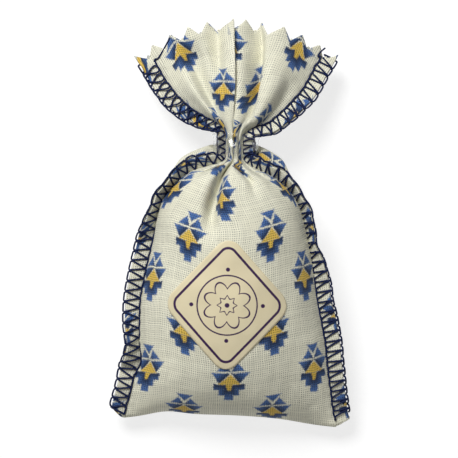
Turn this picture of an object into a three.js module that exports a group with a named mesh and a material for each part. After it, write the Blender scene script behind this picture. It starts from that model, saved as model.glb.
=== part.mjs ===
// A lavender sachet. One strip of cotton is folded at the base and overlocked down both sides with
// the seam allowances left outside, filled with dried lavender, gathered at the neck under a clear
// plastic band, and left open above it as a pinked fan. A diamond paper label is stuck on the front.
// It lies on its back: +X across the front, +Y from the base fold to the fan, +Z up out of the front.
// The origin is on the flat of the back, under the middle of the pouch. Sizes are in millimetres.
import * as THREE from "three";

// Cloth
const PLY = 0.5; // thickness of one ply
const SEAM_ALLOWANCE = 5.3; // seam line to raw edge
const NECK_ALLOWANCE = 2.1; // the same flange crumpled under the band
const HOLLOW_GAP = 0.3; // least opening between the two plies where they lie together
const BASE_WIDTH = 74; // seam to seam along the base fold, the full width of the flat cloth
const BELLY_WIDTH = 62; // seam to seam where the filling draws the sides in
const CHEST_WIDTH = 56.6;
const SHOULDER_WIDTH = 48.8;
const THROAT_WIDTH = 29.8;
const NECK_WIDTH = 6;
const NECK_BEND = 3; // radius of each seam's bend into the neck and out of it
const FAN_WIDTH = 42.8; // seam to seam half way up the fan
const MOUTH_WIDTH = 62.6;
const BASE_REACH = 42.8; // origin to the base fold
const BAND_REACH = 50.8; // origin to the lower edge of the band
const FAN_LENGTH = 28.4; // upper end of the neck to the mouth, at the seams
const MOUTH_BOW = 10; // how much further the mouth reaches in its middle
const BASE_TILT = 1.5; // the right corner hangs this much lower than the middle, the left as much higher
const NECK_SHIFT = 1.4; // the neck and the fan lean this far to the right
const BELLY_CROWN = 18.5; // seam height to the top of the front
const NECK_CROWN = 4.6; // half the depth of the gathered neck
const FAN_CROWN = 8; // front ply above the seam height, half way up the fan
const SEAM_HEIGHT = 15; // the seams above the resting face, beside the belly
const NECK_HEIGHT = 18.5; // the middle of the neck above the resting face
const MOUTH_HEIGHT = 9; // the mouth's corners above the resting face
const TEETH = 10; // pinked teeth along the mouth of each ply
const TOOTH_DEPTH = 3.4;

// Clear band round the neck
const BAND_HEIGHT = 8;
const BAND_WALL = 0.4;
const BAND_CLEARANCE = 0.4; // to what it holds together
const NECK_SPARE = 1; // straight neck beyond each edge of the band

// Overlock stitching: a needle thread and two looper threads down each side
const THREAD = 0.5; // diameter
const THREAD_CLEARANCE = 0.4; // to the cloth and to the other threads
const STITCH_PITCH = 3.7;
const STITCH_START = 2; // first stitch above the base fold, along the seam
const STITCH_STOP = 5.5; // last stitch short of the mouth, along the seam
const LOOPER_TURN = 0.22; // share of the pitch that a looper runs along the seam line
const LOOPER_EDGE = 0.34; // share of the pitch that a looper runs along the raw edge
const LEFT_TAIL = 0.15; // share of the way across the front ply where each needle thread's loose end
const RIGHT_TAIL = 0.98; // reaches the mouth
const TAIL_LIFT = 0.9; // the loose end's centre above the cloth

// Label
const LABEL_WIDTH = 42; // over its rounded corners, as seen from the front
const LABEL_HEIGHT = 45.8;
const LABEL_CORNER = 5; // length of each side that a corner's curve takes
const LABEL_THICKNESS = 0.25;
const LABEL_CLEARANCE = 0.5; // to the cloth
const LABEL_CENTRE = new THREE.Vector2(-1.2, -1.8);

// Filling
const FILL_CLEARANCE = 0.75; // to the inside of the cloth

const BASE_Y = -BASE_REACH;
const NECK_BOTTOM_Y = BAND_REACH - NECK_SPARE;
const NECK_TOP_Y = BAND_REACH + BAND_HEIGHT + NECK_SPARE;
const MOUTH_Y = NECK_TOP_Y + FAN_LENGTH;
const BEND_HALF = NECK_WIDTH / 2 + 0.6 * NECK_BEND; // half width where a seam's bend begins
const BEND_RISE = 0.9 * NECK_BEND; // and its distance along Y from the straight neck
const BEND_Y = NECK_BOTTOM_Y - BEND_RISE;
const COLLAR_Y = BEND_Y - 1.5;

// Cross-sections from the base fold to the mouth. y and half place the two seams, shift moves the
// section sideways and drop lowers its right end; seam is the seams' height; front and back are how
// far the plies stand off it; bow moves the middle towards the mouth; puff does so on the back ply
// alone; arc is half the angle of each ply's curve; flange, left and right give each seam allowance's
// width and its tilt towards the front, in degrees.
const SECTIONS = [
  { name: "base", y: BASE_Y, half: BASE_WIDTH / 2, shift: 0, drop: BASE_TILT, seam: 8,
    front: 0, back: 0, bow: 2.4, puff: 0, arc: 0.3, flange: SEAM_ALLOWANCE, left: 5, right: 0 },
  { name: "heel", y: BASE_Y + 3.8, half: BASE_WIDTH / 2 - 0.8, shift: 0, drop: BASE_TILT, seam: 9,
    front: 7, back: 6, bow: 1.2, puff: 0, arc: 0.7, flange: SEAM_ALLOWANCE, left: 5, right: 0 },
  { name: "lower", y: BASE_Y + 12.5, half: BASE_WIDTH / 2 - 2.6, shift: 0.4, drop: 1, seam: 11.5,
    front: 12.5, back: 10.5, bow: -0.8, puff: 0, arc: 0.85, flange: SEAM_ALLOWANCE, left: 8, right: 4 },
  { name: "flank", y: BASE_Y + 27, half: BELLY_WIDTH / 2 + 1.7, shift: 0.6, drop: 0.5, seam: 13.5,
    front: 16.5, back: 13.5, bow: -2.5, puff: 0, arc: 0.95, flange: SEAM_ALLOWANCE, left: 6, right: 15 },
  { name: "belly", y: BASE_Y + 45, half: BELLY_WIDTH / 2, shift: 0, drop: 0, seam: SEAM_HEIGHT,
    front: BELLY_CROWN, back: 16, bow: -3.5, puff: 0, arc: 1.05,
    flange: SEAM_ALLOWANCE, left: 10, right: 27 },
  { name: "chest", y: BAND_REACH - 31, half: CHEST_WIDTH / 2, shift: 0, drop: 0, seam: SEAM_HEIGHT + 1,
    front: BELLY_CROWN, back: 16.5, bow: -5, puff: 1, arc: 1.2,
    flange: SEAM_ALLOWANCE, left: 24, right: 40 },
  { name: "shoulder", y: BAND_REACH - 16.7, half: SHOULDER_WIDTH / 2, shift: 0.1, drop: 0,
    seam: SEAM_HEIGHT + 3, front: 15, back: 15.5, bow: -6, puff: 4, arc: 1.3,
    flange: SEAM_ALLOWANCE, left: 44, right: 46 },
  { name: "throat", y: COLLAR_Y - 2.8, half: THROAT_WIDTH / 2, shift: 0.5, drop: 0, seam: NECK_HEIGHT + 1,
    front: 9.5, back: 12, bow: -2.5, puff: 4.5, arc: 1.4, flange: 4.4, left: 45, right: 45 },
  { name: "collar", y: COLLAR_Y, half: NECK_WIDTH / 2 + 5, shift: 0.9, drop: 0, seam: NECK_HEIGHT + 0.8,
    front: 7, back: 9, bow: -1, puff: 2.5, arc: 1.45, flange: 3.1, left: 30, right: 30 },
  { name: "bend in", y: BEND_Y, half: BEND_HALF, shift: 1.2, drop: 0, seam: NECK_HEIGHT + 0.4,
    front: 5.4, back: 6.4, bow: -0.3, puff: 0.8, arc: 1.5, flange: NECK_ALLOWANCE, left: 14, right: 14 },
  { name: "neck bottom", y: NECK_BOTTOM_Y, half: NECK_WIDTH / 2, shift: NECK_SHIFT, drop: 0,
    seam: NECK_HEIGHT, front: NECK_CROWN, back: NECK_CROWN, bow: 0, puff: 0, arc: 1.5,
    flange: NECK_ALLOWANCE, left: 10, right: 10 },
  { name: "neck top", y: NECK_TOP_Y, half: NECK_WIDTH / 2, shift: NECK_SHIFT, drop: 0,
    seam: NECK_HEIGHT, front: NECK_CROWN, back: NECK_CROWN, bow: 0, puff: 0, arc: 1.5,
    flange: NECK_ALLOWANCE, left: 10, right: 10 },
  { name: "bend out", y: NECK_TOP_Y + BEND_RISE, half: BEND_HALF, shift: NECK_SHIFT + 0.3, drop: 0,
    seam: NECK_HEIGHT - 0.6, front: 5.4, back: 4.6, bow: 0.8, puff: 0, arc: 1.3,
    flange: NECK_ALLOWANCE, left: 10, right: 10 },
  { name: "flare", y: NECK_TOP_Y + BEND_RISE + 2.4, half: FAN_WIDTH / 4 + 1, shift: NECK_SHIFT + 0.6,
    drop: 0, seam: NECK_HEIGHT - 1.8, front: 6.8, back: 5, bow: 2, puff: 0, arc: 0.9,
    flange: 3.4, left: 13, right: 13 },
  { name: "fan", y: NECK_TOP_Y + FAN_LENGTH * 0.45, half: FAN_WIDTH / 2, shift: NECK_SHIFT + 1,
    drop: 0, seam: 14, front: FAN_CROWN, back: 5.6, bow: 5, puff: 0, arc: 0.6,
    flange: SEAM_ALLOWANCE, left: 12, right: 12 },
  { name: "crest", y: NECK_TOP_Y + FAN_LENGTH * 0.78, half: MOUTH_WIDTH / 2 - 3.8,
    shift: NECK_SHIFT + 0.9, drop: 0, seam: 11, front: FAN_CROWN, back: 5.6, bow: 8, puff: 0, arc: 0.5,
    flange: SEAM_ALLOWANCE, left: 8, right: 8 },
  { name: "mouth", y: MOUTH_Y, half: MOUTH_WIDTH / 2, shift: NECK_SHIFT + 0.7, drop: 0, seam: MOUTH_HEIGHT,
    front: FAN_CROWN, back: 5, bow: MOUTH_BOW, puff: 0, arc: 0.5,
    flange: SEAM_ALLOWANCE, left: 8, right: 8 },
];
const sectionIndex = (name) => SECTIONS.findIndex((section) => section.name === name);
const NECK_BOTTOM = sectionIndex("neck bottom");
const NECK_TOP = sectionIndex("neck top");
const MOUTH = sectionIndex("mouth");

// Valleys between the gathers. Each follows the cloth at a share of the way across it, from its first
// section to its last; depth is as a share of the ply's height there, width as a share of the cloth.
const FRONT_VALLEYS = [
  { from: "shoulder", to: "bend in", across: [0.3, 0.41], depth: 0.55, width: 0.05 },
  { from: "shoulder", to: "bend in", across: [0.68, 0.56], depth: 0.4, width: 0.05 },
  { from: "bend out", to: "mouth", across: [0.24, 0.2], depth: 0.35, width: 0.06 },
  { from: "fan", to: "mouth", across: [0.37, 0.37], depth: 0.5, width: 0.05 },
  { from: "bend out", to: "mouth", across: [0.56, 0.51], depth: 0.5, width: 0.035 },
  { from: "bend out", to: "mouth", across: [0.66, 0.64], depth: 0.7, width: 0.045 },
  { from: "bend out", to: "mouth", across: [0.8, 0.82], depth: 0.45, width: 0.06 },
];
const BACK_VALLEYS = [
  { from: "shoulder", to: "bend in", across: [0.36, 0.44], depth: 0.45, width: 0.05 },
  { from: "shoulder", to: "bend in", across: [0.64, 0.56], depth: 0.45, width: 0.05 },
  { from: "bend out", to: "mouth", across: [0.3, 0.26], depth: 0.5, width: 0.06 },
  { from: "bend out", to: "mouth", across: [0.5, 0.48], depth: 0.5, width: 0.06 },
  { from: "bend out", to: "mouth", across: [0.7, 0.74], depth: 0.5, width: 0.06 },
];
const VALLEY_FADE = 0.8; // sections over which a valley comes in at its two ends

// Facets
const ACROSS = 2 * TEETH; // steps across each ply, two to a tooth
const ROWS_PER_SECTION = [3, 2, 2, 2, 3, 3, 3, 2, 2, 2, 1, 2, 2, 2, 2]; // up to the crest
const FILL_ACROSS = ACROSS;
const LABEL_SIDE_STEPS = 4;
const LABEL_CORNER_STEPS = 3;
const LABEL_RINGS = [0.04, 0.28, 0.52, 0.76, 1];
const BAND_STEPS = 32;
const SEAM_SAMPLES = 600;

// Smooth value of one field at section coordinate t, rising and falling only where the sections do.
function field(name, t) {
  const last = SECTIONS.length - 1;
  const i = Math.min(Math.max(Math.floor(t), 0), last - 1);
  const value = (k) => SECTIONS[Math.min(Math.max(k, 0), last)][name];
  const slope = (k) => {
    const before = value(k) - value(k - 1);
    const after = value(k + 1) - value(k);
    return before * after > 0 ? (2 * before * after) / (before + after) : 0;
  };
  const u = t - i;
  const rise = u * u * (3 - 2 * u);
  return value(i) * (1 - rise) + value(i + 1) * rise
    + slope(i) * u * (1 - u) ** 2 - slope(i + 1) * u * u * (1 - u);
}

// How much of a valley is there at t: none outside its sections, all of it between.
function valleyStrength(valley, t) {
  const start = sectionIndex(valley.from);
  const end = sectionIndex(valley.to);
  const fadeIn = THREE.MathUtils.smoothstep(t, start - VALLEY_FADE, start + VALLEY_FADE);
  return end === MOUTH ? fadeIn : fadeIn * (1 - THREE.MathUtils.smoothstep(t, end, end + VALLEY_FADE));
}

// Share of a ply's height that its valleys leave at s across the cloth and t along it.
function valleyShare(valleys, s, t) {
  let share = 1;
  for (const valley of valleys) {
    const start = sectionIndex(valley.from);
    const along = THREE.MathUtils.clamp((t - start) / (sectionIndex(valley.to) - start), 0, 1);
    const centre = THREE.MathUtils.lerp(valley.across[0], valley.across[1], along);
    const away = (s - centre) / valley.width;
    share -= valley.depth * valleyStrength(valley, t) * Math.exp(-away * away);
  }
  return Math.max(share, 0.1);
}

// Seam point on the left (side -1) or right (side 1).
function seamPoint(side, t) {
  return new THREE.Vector3(
    field("shift", t) + side * field("half", t),
    field("y", t) - side * field("drop", t),
    field("seam", t),
  );
}

// Outer face of a ply, face 1 for the front and -1 for the back, at s from 0 on the left seam to 1 on
// the right one. inset narrows the section, as the inside of the cloth and the filling need.
function plyPoint(face, s, t, inset = 0) {
  const arc = field("arc", t);
  const across = 2 * s - 1;
  const half = field("half", t);
  const crown = (Math.cos(arc * across) - Math.cos(arc)) / (1 - Math.cos(arc));
  const sweep = Math.sin(arc * across) / Math.sin(arc);
  const valleys = face > 0 ? FRONT_VALLEYS : BACK_VALLEYS;
  const stand = field(face > 0 ? "front" : "back", t) * crown * valleyShare(valleys, s, t);
  const puff = face < 0 ? field("puff", t) * Math.sqrt(Math.max(crown, 0)) : 0;
  const z = field("seam", t) + face * (PLY + HOLLOW_GAP / 2 + stand);
  return new THREE.Vector3(
    field("shift", t) + sweep * half * Math.max(1 - inset / half, 0.05),
    field("y", t) - sweep * field("drop", t) + field("bow", t) * crown + puff,
    Math.max(z, 0),
  );
}

// Frame of a seam allowance at t: the seam point, outward along the flange, and its front-facing normal.
function flangeFrame(side, t) {
  const step = 0.05;
  const origin = seamPoint(side, t);
  const behind = seamPoint(side, Math.max(t - step, 0));
  const tangent = seamPoint(side, Math.min(t + step, MOUTH)).sub(behind).normalize();
  const up = new THREE.Vector3(0, 0, 1).addScaledVector(tangent, -tangent.z).normalize();
  const level = new THREE.Vector3().crossVectors(tangent, up).multiplyScalar(side);
  const tilt = THREE.MathUtils.degToRad(field(side < 0 ? "left" : "right", t));
  const outward = level.clone().multiplyScalar(Math.cos(tilt)).addScaledVector(up, Math.sin(tilt));
  const normal = up.clone().multiplyScalar(Math.cos(tilt)).addScaledVector(level, -Math.sin(tilt));
  return { origin, outward, normal, width: field("flange", t) };
}

// Point beside a seam: out from the seam line and off the middle of the flange towards the front.
function flangePoint(side, t, out, off) {
  const frame = flangeFrame(side, t);
  return frame.origin.addScaledVector(frame.outward, out).addScaledVector(frame.normal, off);
}

// Closed solid through rings of equally many points, its ends closed by strips from one half of the
// end ring to the other. A looped loft joins its last ring to its first instead.
function loft(rings, looped = false) {
  const count = rings[0].length;
  const index = [];
  const quad = (a, b, c, d) => index.push(a, b, c, a, c, d);
  const lastRing = looped ? rings.length : rings.length - 1;
  for (let j = 0; j < lastRing; j++) {
    const here = j * count;
    const next = ((j + 1) % rings.length) * count;
    for (let k = 0; k < count; k++) {
      const after = (k + 1) % count;
      quad(here + k, here + after, next + after, next + k);
    }
  }
  if (!looped) {
    const top = (rings.length - 1) * count;
    const cap = (first, flip) => {
      const push = (a, b, c) => index.push(first + a, first + (flip ? c : b), first + (flip ? b : c));
      for (let k = 0; k < (count - 1) / 2; k++) {
        const mate = count - 1 - k;
        push(k, mate, k + 1);
        if (mate - 1 > k + 1) push(k + 1, mate, mate - 1);
      }
    };
    cap(0, false);
    cap(top, true);
  }
  const position = new Float32Array(rings.flat().flatMap((p) => p.toArray()));
  const geometry = new THREE.BufferGeometry();
  geometry.setAttribute("position", new THREE.BufferAttribute(position, 3));
  geometry.setIndex(signedVolume(position, index) < 0 ? index.reverse() : index);
  geometry.computeVertexNormals();
  return geometry;
}

function signedVolume(position, index) {
  const corner = (k) => new THREE.Vector3().fromArray(position, 3 * index[k]);
  let sum = 0;
  for (let k = 0; k < index.length; k += 3) sum += corner(k).dot(corner(k + 1).cross(corner(k + 2)));
  return sum;
}

// Thread along a path of points: a three-sided section, mitred where the path bends.
function threadAlong(path) {
  const heading = (k) => path[k + 1].clone().sub(path[k]).normalize();
  const sideways = new THREE.Vector3(0, 0, 1).cross(heading(0)).normalize();
  const upright = heading(0).cross(sideways);
  let ring = [90, 210, 330].map(THREE.MathUtils.degToRad).map((angle) => path[0].clone()
    .addScaledVector(sideways, (Math.cos(angle) * THREAD) / 2)
    .addScaledVector(upright, (Math.sin(angle) * THREAD) / 2));
  const rings = [ring];
  for (let k = 1; k < path.length; k++) {
    const into = heading(k - 1);
    const mitre = k < path.length - 1 ? heading(k).add(into) : into;
    const run = (p) => path[k].clone().sub(p).dot(mitre) / into.dot(mitre);
    ring = ring.map((p) => p.clone().addScaledVector(into, run(p)));
    rings.push(ring);
  }
  return loft(rings);
}

// Ring of the bag's outside at t: the left flange's front edge, the front ply, the right flange round
// its raw edge, the back ply and the left flange's back edge. The mouth's ring is notched by tooth.
function outsideRing(t, tooth = 0) {
  const notch = (k) => t - (k % 2 === 0 ? tooth : 0);
  const ply = PLY + HOLLOW_GAP / 2;
  const edge = (side, face) => flangePoint(side, t, field("flange", t), face * ply);
  const seam = (side, face) => flangePoint(side, notch(0), 0, face * ply);
  const across = [...Array(ACROSS - 1).keys()].map((k) => k + 1);
  const front = across.map((k) => plyPoint(1, k / ACROSS, notch(k)));
  const back = across.map((k) => plyPoint(-1, k / ACROSS, notch(k + 1))).reverse();
  return [edge(-1, 1), seam(-1, 1), ...front, seam(1, 1), edge(1, 1),
    edge(1, -1), seam(1, -1), ...back, seam(-1, -1), edge(-1, -1)];
}

// Ring of the bag's inside at t, with as many points as the outside: the plies one thickness in, and
// the hollow's two ends drawn in beside the seams.
function insideRing(t, tooth = 0) {
  const notch = (k) => t - (k % 2 === 0 ? tooth : 0);
  const rise = PLY * Math.max(1 - t, 0);
  const ply = (face, k, turn = 0) => {
    const p = plyPoint(face, k / ACROSS, notch(k + turn), PLY);
    return new THREE.Vector3(p.x, p.y + rise, p.z - face * PLY);
  };
  const across = [...Array(ACROSS - 1).keys()].map((k) => k + 1);
  const front = across.map((k) => ply(1, k));
  const back = across.map((k) => ply(-1, k, 1));
  const end = (side, face, share) => {
    const first = (face > 0 ? front : back)[side < 0 ? 0 : ACROSS - 2];
    const tip = seamPoint(side, notch(0)).add(new THREE.Vector3(-side * PLY, rise, (face * HOLLOW_GAP) / 2));
    return tip.lerp(first, share);
  };
  const ends = (side, face) => [end(side, face, 0), end(side, face, 0.4)];
  return [...ends(-1, 1), ...front, ...ends(1, 1).reverse(),
    ...ends(1, -1), ...back.toReversed(), ...ends(-1, -1).reverse()];
}

// Section coordinates of the bag's rows, with the last at the mouth.
function bagRows() {
  const rows = ROWS_PER_SECTION.flatMap((count, i) => [...Array(count).keys()].map((k) => i + k / count));
  return [...rows, sectionIndex("crest")];
}

function clothBag() {
  const mouthPitch = seamPoint(1, MOUTH).distanceTo(seamPoint(1, MOUTH - 1));
  const tooth = TOOTH_DEPTH / mouthPitch;
  const rows = bagRows();
  const outside = [...rows.map((t) => outsideRing(t)), outsideRing(MOUTH, tooth)];
  const inside = [...rows.map((t) => insideRing(t)), insideRing(MOUTH, tooth)];
  return loft([...outside, ...inside.reverse()]);
}

// Heap of dried lavender that fills the pouch up to the throat.
function lavenderFilling() {
  const inset = PLY + FILL_CLEARANCE;
  const rows = bagRows().filter((t) => t > 0.5 && t < sectionIndex("throat"))
    .filter((t, k) => k % 2 === 0);
  const across = [...Array(FILL_ACROSS + 1).keys()];
  const ring = (t) => {
    const point = (face, k) => {
      const s = THREE.MathUtils.clamp(k / FILL_ACROSS, 0.06, 0.94);
      const p = plyPoint(face, s, t, inset);
      const middle = field("seam", t);
      const z = p.z - face * (inset + FILL_CLEARANCE);
      const y = p.y + 2 * inset * Math.max(1 - t, 0);
      return new THREE.Vector3(p.x, y, face > 0 ? Math.max(z, middle + 0.1) : Math.min(z, middle - 0.1));
    };
    return [...across.map((k) => point(1, k)), ...across.map((k) => point(-1, k)).reverse()];
  };
  return loft(rows.map(ring));
}

// Section coordinate at each distance along the middle of a flange, from the base fold.
function seamRuler(side) {
  const samples = [...Array(SEAM_SAMPLES + 1).keys()].map((k) => (k * MOUTH) / SEAM_SAMPLES);
  const points = samples.map((t) => flangePoint(side, t, field("flange", t) / 2, 0));
  const lengths = [0];
  points.slice(1).forEach((p, k) => lengths.push(lengths[k] + p.distanceTo(points[k])));
  const total = lengths[SEAM_SAMPLES];
  const at = (distance) => {
    const k = Math.max(lengths.findIndex((length) => length >= distance), 1);
    const share = (distance - lengths[k - 1]) / (lengths[k] - lengths[k - 1]);
    return THREE.MathUtils.lerp(samples[k - 1], samples[k], share);
  };
  return { at, stitches: Math.floor((total - STITCH_START - STITCH_STOP) / STITCH_PITCH) };
}

const SPACE = THREAD_CLEARANCE + THREAD / 2; // thread centre to the cloth
const LIFT = PLY + HOLLOW_GAP / 2 + SPACE; // and so off the middle of the flange
const RIM_OUT = 0.8 * SPACE; // looper past the raw edge where it turns over it
const EDGE_OFF = (THREAD + THREAD_CLEARANCE) / 2; // and off the middle of the flange there

// Needle thread's place out from the seam line: as deep as it fits into the crease under the front ply.
function needleOut(side, t) {
  const crease = THREE.MathUtils.degToRad(90 - field(side < 0 ? "left" : "right", t));
  return SPACE / Math.tan(crease / 2) + THREAD / 2;
}

// Point of a thread beside a seam, held to the straight facets between the bag's rows.
function stitchPoint(side, ruler, distance, out, off) {
  const t = ruler.at(distance);
  const rows = [...bagRows(), MOUTH];
  const next = rows.findIndex((row) => row > t);
  const share = (t - rows[next - 1]) / (rows[next] - rows[next - 1]);
  const [low, high] = [rows[next - 1], rows[next]];
  return flangePoint(side, low, out(low), off).lerp(flangePoint(side, high, out(high), off), share);
}

// Looper thread on the front (face 1) or the back (face -1) of a flange: along beside the needle
// thread, out over the cloth, along the raw edge and back, once to a stitch. The back one works half
// a stitch later.
function looperThread(side, face) {
  const ruler = seamRuler(side);
  const path = [];
  const inner = (t) => needleOut(side, t) + 1.4 * THREAD + THREAD_CLEARANCE;
  const rim = (t) => field("flange", t) + RIM_OUT;
  const edge = (t) => field("flange", t) + SPACE;
  const run = (1 - LOOPER_TURN - LOOPER_EDGE) / 2;
  for (let k = 0; k < ruler.stitches; k++) {
    const start = STITCH_START + (k + (face < 0 ? 0.5 : 0)) * STITCH_PITCH;
    const add = (share, out, off) => {
      path.push(stitchPoint(side, ruler, start + share * STITCH_PITCH, out, face * off));
    };
    add(0, inner, LIFT);
    add(LOOPER_TURN, inner, LIFT);
    add(LOOPER_TURN + 0.9 * run, rim, LIFT);
    add(LOOPER_TURN + run, edge, EDGE_OFF);
    add(LOOPER_TURN + run + LOOPER_EDGE, edge, EDGE_OFF);
    add(LOOPER_TURN + 1.1 * run + LOOPER_EDGE, rim, LIFT);
  }
  return threadAlong(path);
}

// Needle thread along the seam line on the front, with its loose end lying over the front ply.
function needleThread(side) {
  const ruler = seamRuler(side);
  const path = [];
  for (let k = 0; k <= 2 * ruler.stitches; k++) {
    const distance = STITCH_START + (k * STITCH_PITCH) / 2;
    path.push(stitchPoint(side, ruler, distance, (t) => needleOut(side, t), LIFT));
  }
  const seamEnd = ruler.at(STITCH_START + ruler.stitches * STITCH_PITCH);
  const up = new THREE.Vector3(0, 0, 1);
  for (const share of [0.4, 0.7, 1]) {
    const t = THREE.MathUtils.lerp(seamEnd, MOUTH, share);
    const s = THREE.MathUtils.lerp(side < 0 ? 0 : 1, side < 0 ? LEFT_TAIL : RIGHT_TAIL, share);
    path.push(plyPoint(1, s, t).addScaledVector(up, TAIL_LIFT));
  }
  return threadAlong(path);
}

// Clear band: an oval sleeve just clear of the neck, its flanges and their threads.
function neckBand() {
  const middle = (NECK_BOTTOM + NECK_TOP) / 2;
  const reach = [-1, 1].flatMap((side) => [-1, 1].flatMap((face) => [
    flangePoint(side, middle, NECK_ALLOWANCE + RIM_OUT, face * LIFT),
    flangePoint(side, middle, NECK_ALLOWANCE + SPACE, face * EDGE_OFF),
  ]));
  const centre = field("shift", middle);
  const halfDepth = NECK_CROWN + PLY + HOLLOW_GAP / 2 + BAND_CLEARANCE;
  const halfWidth = THREAD / 2 + BAND_CLEARANCE + Math.max(...reach.map((p) => (
    Math.abs(p.x - centre) / Math.sqrt(1 - ((p.z - NECK_HEIGHT) / halfDepth) ** 2))));
  const rings = [];
  for (let k = 0; k < BAND_STEPS; k++) {
    const angle = (k / BAND_STEPS) * 2 * Math.PI;
    const place = (wall, y) => new THREE.Vector3(
      centre + (halfWidth + wall) * Math.cos(angle), y, NECK_HEIGHT + (halfDepth + wall) * Math.sin(angle));
    rings.push([place(0, BAND_REACH), place(BAND_WALL, BAND_REACH),
      place(BAND_WALL, BAND_REACH + BAND_HEIGHT), place(0, BAND_REACH + BAND_HEIGHT)]);
  }
  return loft(rings, true);
}

// Point on the outside of the front ply straight above x, y in the pouch.
function frontAbove(x, y) {
  let low = 0;
  let high = sectionIndex("shoulder");
  const across = (t) => {
    const sweep = THREE.MathUtils.clamp((x - field("shift", t)) / field("half", t), -1, 1);
    return (Math.asin(sweep * Math.sin(field("arc", t))) / field("arc", t) + 1) / 2;
  };
  for (let k = 0; k < 40; k++) {
    const t = (low + high) / 2;
    if (plyPoint(1, across(t), t).y < y) low = t;
    else high = t;
  }
  return plyPoint(1, across(low), low);
}

// Outline of the label: a diamond with rounded corners, as evenly spaced points.
function labelOutline() {
  const side = Math.hypot(LABEL_WIDTH, LABEL_HEIGHT);
  const reachX = LABEL_WIDTH / 2 + (LABEL_CORNER * LABEL_WIDTH) / side / 2;
  const reachY = LABEL_HEIGHT / 2 + (LABEL_CORNER * LABEL_HEIGHT) / side / 2;
  const corners = [[reachX, 0], [0, reachY], [-reachX, 0], [0, -reachY]]
    .map(([x, y]) => new THREE.Vector2(x, y));
  const points = [];
  corners.forEach((corner, k) => {
    const towards = (other) => other.clone().sub(corner).normalize();
    const before = corner.clone().addScaledVector(towards(corners[(k + 3) % 4]), LABEL_CORNER);
    const after = corner.clone().addScaledVector(towards(corners[(k + 1) % 4]), LABEL_CORNER);
    const round = new THREE.QuadraticBezierCurve(before, corner, after);
    points.push(...round.getPoints(LABEL_CORNER_STEPS));
    const following = corners[(k + 1) % 4];
    const next = following.clone().addScaledVector(towards(following), -LABEL_CORNER);
    for (let j = 1; j < LABEL_SIDE_STEPS; j++) points.push(after.clone().lerp(next, j / LABEL_SIDE_STEPS));
  });
  return points;
}

// Paper label, bent to the front of the pouch.
function label() {
  const outline = labelOutline();
  const ring = (share, lift) => outline.map((p) => {
    const under = frontAbove(LABEL_CENTRE.x + p.x * share, LABEL_CENTRE.y + p.y * share);
    return new THREE.Vector3(LABEL_CENTRE.x + p.x * share, LABEL_CENTRE.y + p.y * share, under.z + lift);
  });
  const underside = LABEL_RINGS.map((share) => ring(share, LABEL_CLEARANCE));
  const face = LABEL_RINGS.map((share) => ring(share, LABEL_CLEARANCE + LABEL_THICKNESS)).reverse();
  return loft([...underside, ...face]);
}

const COTTON = new THREE.MeshStandardMaterial({ color: 0xd9d6c2, roughness: 0.9, metalness: 0 });
const NAVY_THREAD = new THREE.MeshStandardMaterial({ color: 0x141b3a, roughness: 0.7, metalness: 0 });
const LAVENDER = new THREE.MeshStandardMaterial({ color: 0x6a5f86, roughness: 1, metalness: 0 });
const CREAM_PAPER = new THREE.MeshStandardMaterial({ color: 0xe6dabb, roughness: 0.6, metalness: 0 });
const CLEAR_FILM = new THREE.MeshStandardMaterial({
  color: 0xf4f4f0, roughness: 0.15, metalness: 0, transparent: true, opacity: 0.35,
});

const sachet = new THREE.Group();
function add(name, geometry, material) {
  const mesh = new THREE.Mesh(geometry, material);
  mesh.name = name;
  sachet.add(mesh);
}

add("cloth_bag", clothBag(), COTTON);
add("lavender_filling", lavenderFilling(), LAVENDER);
add("neck_band", neckBand(), CLEAR_FILM);
add("label", label(), CREAM_PAPER);
for (const [side, name] of [[-1, "left"], [1, "right"]]) {
  add(`${name}_needle_thread`, needleThread(side), NAVY_THREAD);
  add(`${name}_upper_looper_thread`, looperThread(side, 1), NAVY_THREAD);
  add(`${name}_lower_looper_thread`, looperThread(side, -1), NAVY_THREAD);
}

export default sachet;
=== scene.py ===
"""Lavender sachet: printed cotton bag, overlock stitching, clear neck band, paper label and lavender."""

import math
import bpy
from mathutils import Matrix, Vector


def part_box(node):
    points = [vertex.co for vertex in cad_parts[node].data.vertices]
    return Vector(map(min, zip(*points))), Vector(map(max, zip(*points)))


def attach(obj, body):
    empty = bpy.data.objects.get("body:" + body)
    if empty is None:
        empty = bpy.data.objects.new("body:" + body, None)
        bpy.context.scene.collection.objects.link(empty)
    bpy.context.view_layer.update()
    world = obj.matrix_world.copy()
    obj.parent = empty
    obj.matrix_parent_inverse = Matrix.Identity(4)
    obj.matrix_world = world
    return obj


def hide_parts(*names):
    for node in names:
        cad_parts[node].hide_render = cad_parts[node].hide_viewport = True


bl_info = {
    "name": "Lavender Sachet",
    "version": (1, 0, 0),
    "blender": (4, 5, 0),
    "location": "View3D > Sidebar > Sachet",
    "description": "Dresses the packed sachet with cloth, stitching, a band, a label and a filling",
    "category": "Object",
}

import bmesh
import bpy
from bpy.props import FloatProperty, FloatVectorProperty, IntProperty, PointerProperty
from mathutils import Matrix, Vector, noise
from mathutils.bvhtree import BVHTree

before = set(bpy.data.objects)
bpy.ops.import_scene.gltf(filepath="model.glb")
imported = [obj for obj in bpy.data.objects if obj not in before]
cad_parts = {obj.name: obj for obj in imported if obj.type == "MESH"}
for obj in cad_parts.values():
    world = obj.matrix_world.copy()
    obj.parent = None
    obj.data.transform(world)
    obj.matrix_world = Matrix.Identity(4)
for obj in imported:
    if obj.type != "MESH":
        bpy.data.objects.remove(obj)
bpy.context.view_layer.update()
MM = 0.001


def srgb(red, green, blue):
    """Linear colour of three screen values from 0 to 255."""
    def channel(value):
        value /= 255
        return value / 12.92 if value <= 0.04045 else ((value + 0.055) / 1.055) ** 2.4
    return (channel(red), channel(green), channel(blue))


# Sizes and colours

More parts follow.
